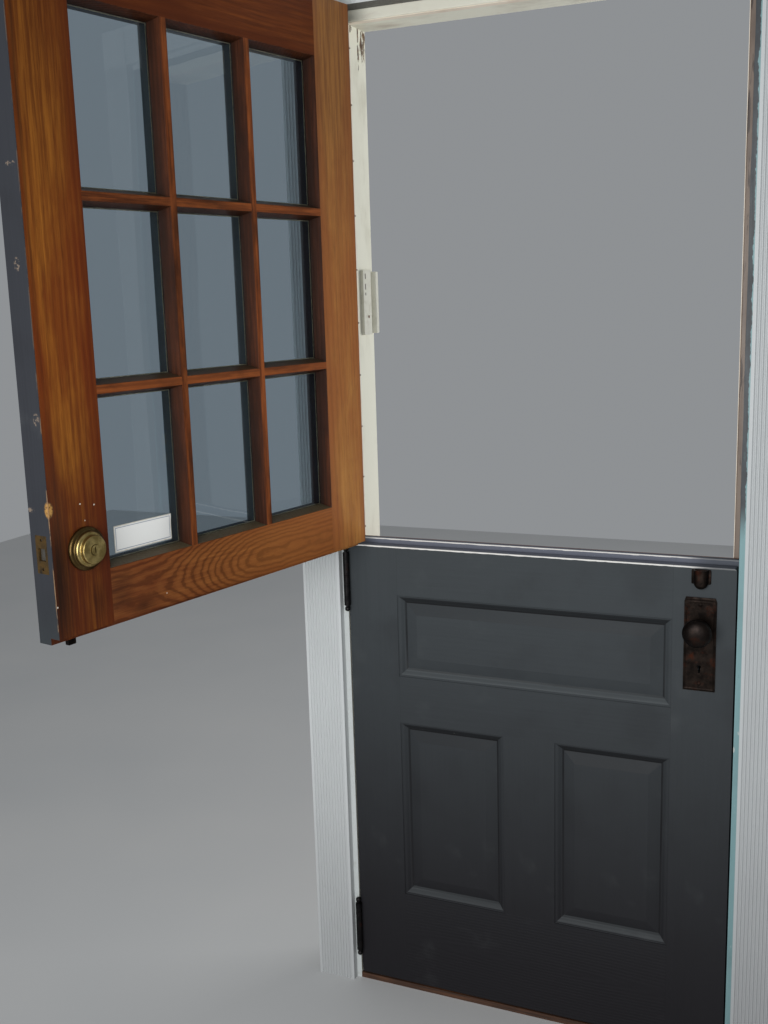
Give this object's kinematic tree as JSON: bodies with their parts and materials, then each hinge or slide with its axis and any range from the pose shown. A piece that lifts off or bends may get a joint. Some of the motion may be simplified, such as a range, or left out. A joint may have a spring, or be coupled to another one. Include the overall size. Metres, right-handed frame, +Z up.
{
  "type": "dutch stable door",
  "caption": "Framed door in two leaves: a panelled lower leaf and a glazed upper leaf that open separately, with casings, hinges, lock, deadbolt and surface bolt.",
  "frame": {"origin": "centre of the sill's underside, in the middle of the opening and of the frame's depth", "axes": "+Z up, +X from the hinge jamb to the latch jamb, +Y outwards, away from the room"},
  "size_m": [1.0195, 0.9062, 2.097],
  "materials": {
    "casing_paint": "white painted, satin",
    "jamb_paint": "old cream paint, worn",
    "leaf_paint": "slate grey paint, low sheen, worn edges",
    "stained_wood": "stained red-brown wood, semi-gloss varnish",
    "sill_wood": "weathered wood",
    "black_iron": "black",
    "bronze": "dark rusted bronze",
    "brass": "aged",
    "steel": "plain",
    "glass": "clear",
    "white_plastic": "matte"
  },
  "bodies": {
    "frame": {"jamb_hinge_side": "jamb_paint", "jamb_latch_side": "jamb_paint", "jamb_head": "jamb_paint", "sill": "sill_wood", "stop_hinge_side": "jamb_paint", "stop_latch_side": "jamb_paint", "stop_head": "jamb_paint", "casing_hinge_side": "casing_paint", "casing_latch_side": "casing_paint", "casing_head": "casing_paint", "corner_blocks": "casing_paint", "latch_strike": "steel", "deadbolt_strike": "brass", "frame_hinge_plates": "black_iron", "frame_hinge_screws": "steel", "hinge_pins": "black_iron", "contact_sensor": "white_plastic", "weatherstrips": "white_plastic"},
    "lower_leaf": {"lower_hinge_stile": "leaf_paint", "lower_latch_stile": "leaf_paint", "lower_top_rail": "leaf_paint", "lower_cross_rail": "leaf_paint", "lower_bottom_rail": "leaf_paint", "lower_mullion": "leaf_paint", "lower_top_panel": "leaf_paint", "lower_left_panel": "leaf_paint", "lower_right_panel": "leaf_paint", "lower_mouldings_room": "leaf_paint", "lower_mouldings_outer": "stained_wood", "lower_hinge_plates": "black_iron", "lower_hinge_screws": "steel", "lock_case": "steel", "lock_plate_room": "bronze", "lock_plate_outer": "bronze", "bolt_keeper": "bronze"},
    "upper_leaf": {"upper_hinge_stile": "stained_wood", "upper_latch_stile": "stained_wood", "upper_meeting_rail": "stained_wood", "upper_top_rail": "stained_wood", "vertical_bars": "stained_wood", "horizontal_bars": "stained_wood", "glass_panes": "glass", "glazing_beads": "stained_wood", "upper_hinge_plates": "black_iron", "upper_hinge_screws": "steel", "deadbolt_case": "brass", "deadbolt_rose": "brass", "thumb_rose": "brass", "bolt_plate": "bronze"},
    "knobs": {"knob_room": "bronze", "knob_outer": "bronze", "knob_spindle": "bronze"},
    "latch": {"latch_bolt": "steel"},
    "turn": {"thumb_turn": "brass", "key_plug": "brass"},
    "deadbolt": {"deadbolt": "steel"},
    "shoot": {"bolt_shoot": "bronze"}
  },
  "joints": [
    {"name": "lower_leaf_swing", "type": "hinge", "parent": "frame", "child": "lower_leaf", "pos_m": [-0.3825, -0.0775, 0.5], "axis": [0, 0, 1], "range_deg": [-100, 0]},
    {"name": "upper_leaf_swing", "type": "hinge", "parent": "frame", "child": "upper_leaf", "pos_m": [-0.3825, -0.0775, 1.5], "axis": [0, 0, 1], "range_deg": [-58.6, 101.4]},
    {"name": "knob_turn", "type": "hinge", "parent": "lower_leaf", "child": "knobs", "pos_m": [0.32, -0.07, 0.865], "axis": [0, 1, 0], "range_deg": [0, 45]},
    {"name": "latch_slide", "type": "slide", "parent": "lower_leaf", "child": "latch", "axis": [1, 0, 0], "range_m": [0, 0.012]},
    {"name": "deadbolt_turn", "type": "hinge", "parent": "upper_leaf", "child": "turn", "pos_m": [-0.514, -0.76762, 1.116], "axis": [0.9803, -0.1977, 0], "range_deg": [0, 90]},
    {"name": "deadbolt_slide", "type": "slide", "parent": "upper_leaf", "child": "deadbolt", "axis": [-0.1977, -0.9803, 0], "range_m": [0, 0.025]},
    {"name": "shoot_slide", "type": "slide", "parent": "upper_leaf", "child": "shoot", "axis": [0, 0, -1], "range_m": [-0.0215, 0.016]}
  ],
  "couplings": [
    {"joint": "latch_slide", "follows": "knob_turn", "m_per_rad": 0.01527},
    {"joint": "deadbolt_slide", "follows": "deadbolt_turn", "m_per_rad": 0.0159}
  ]
}
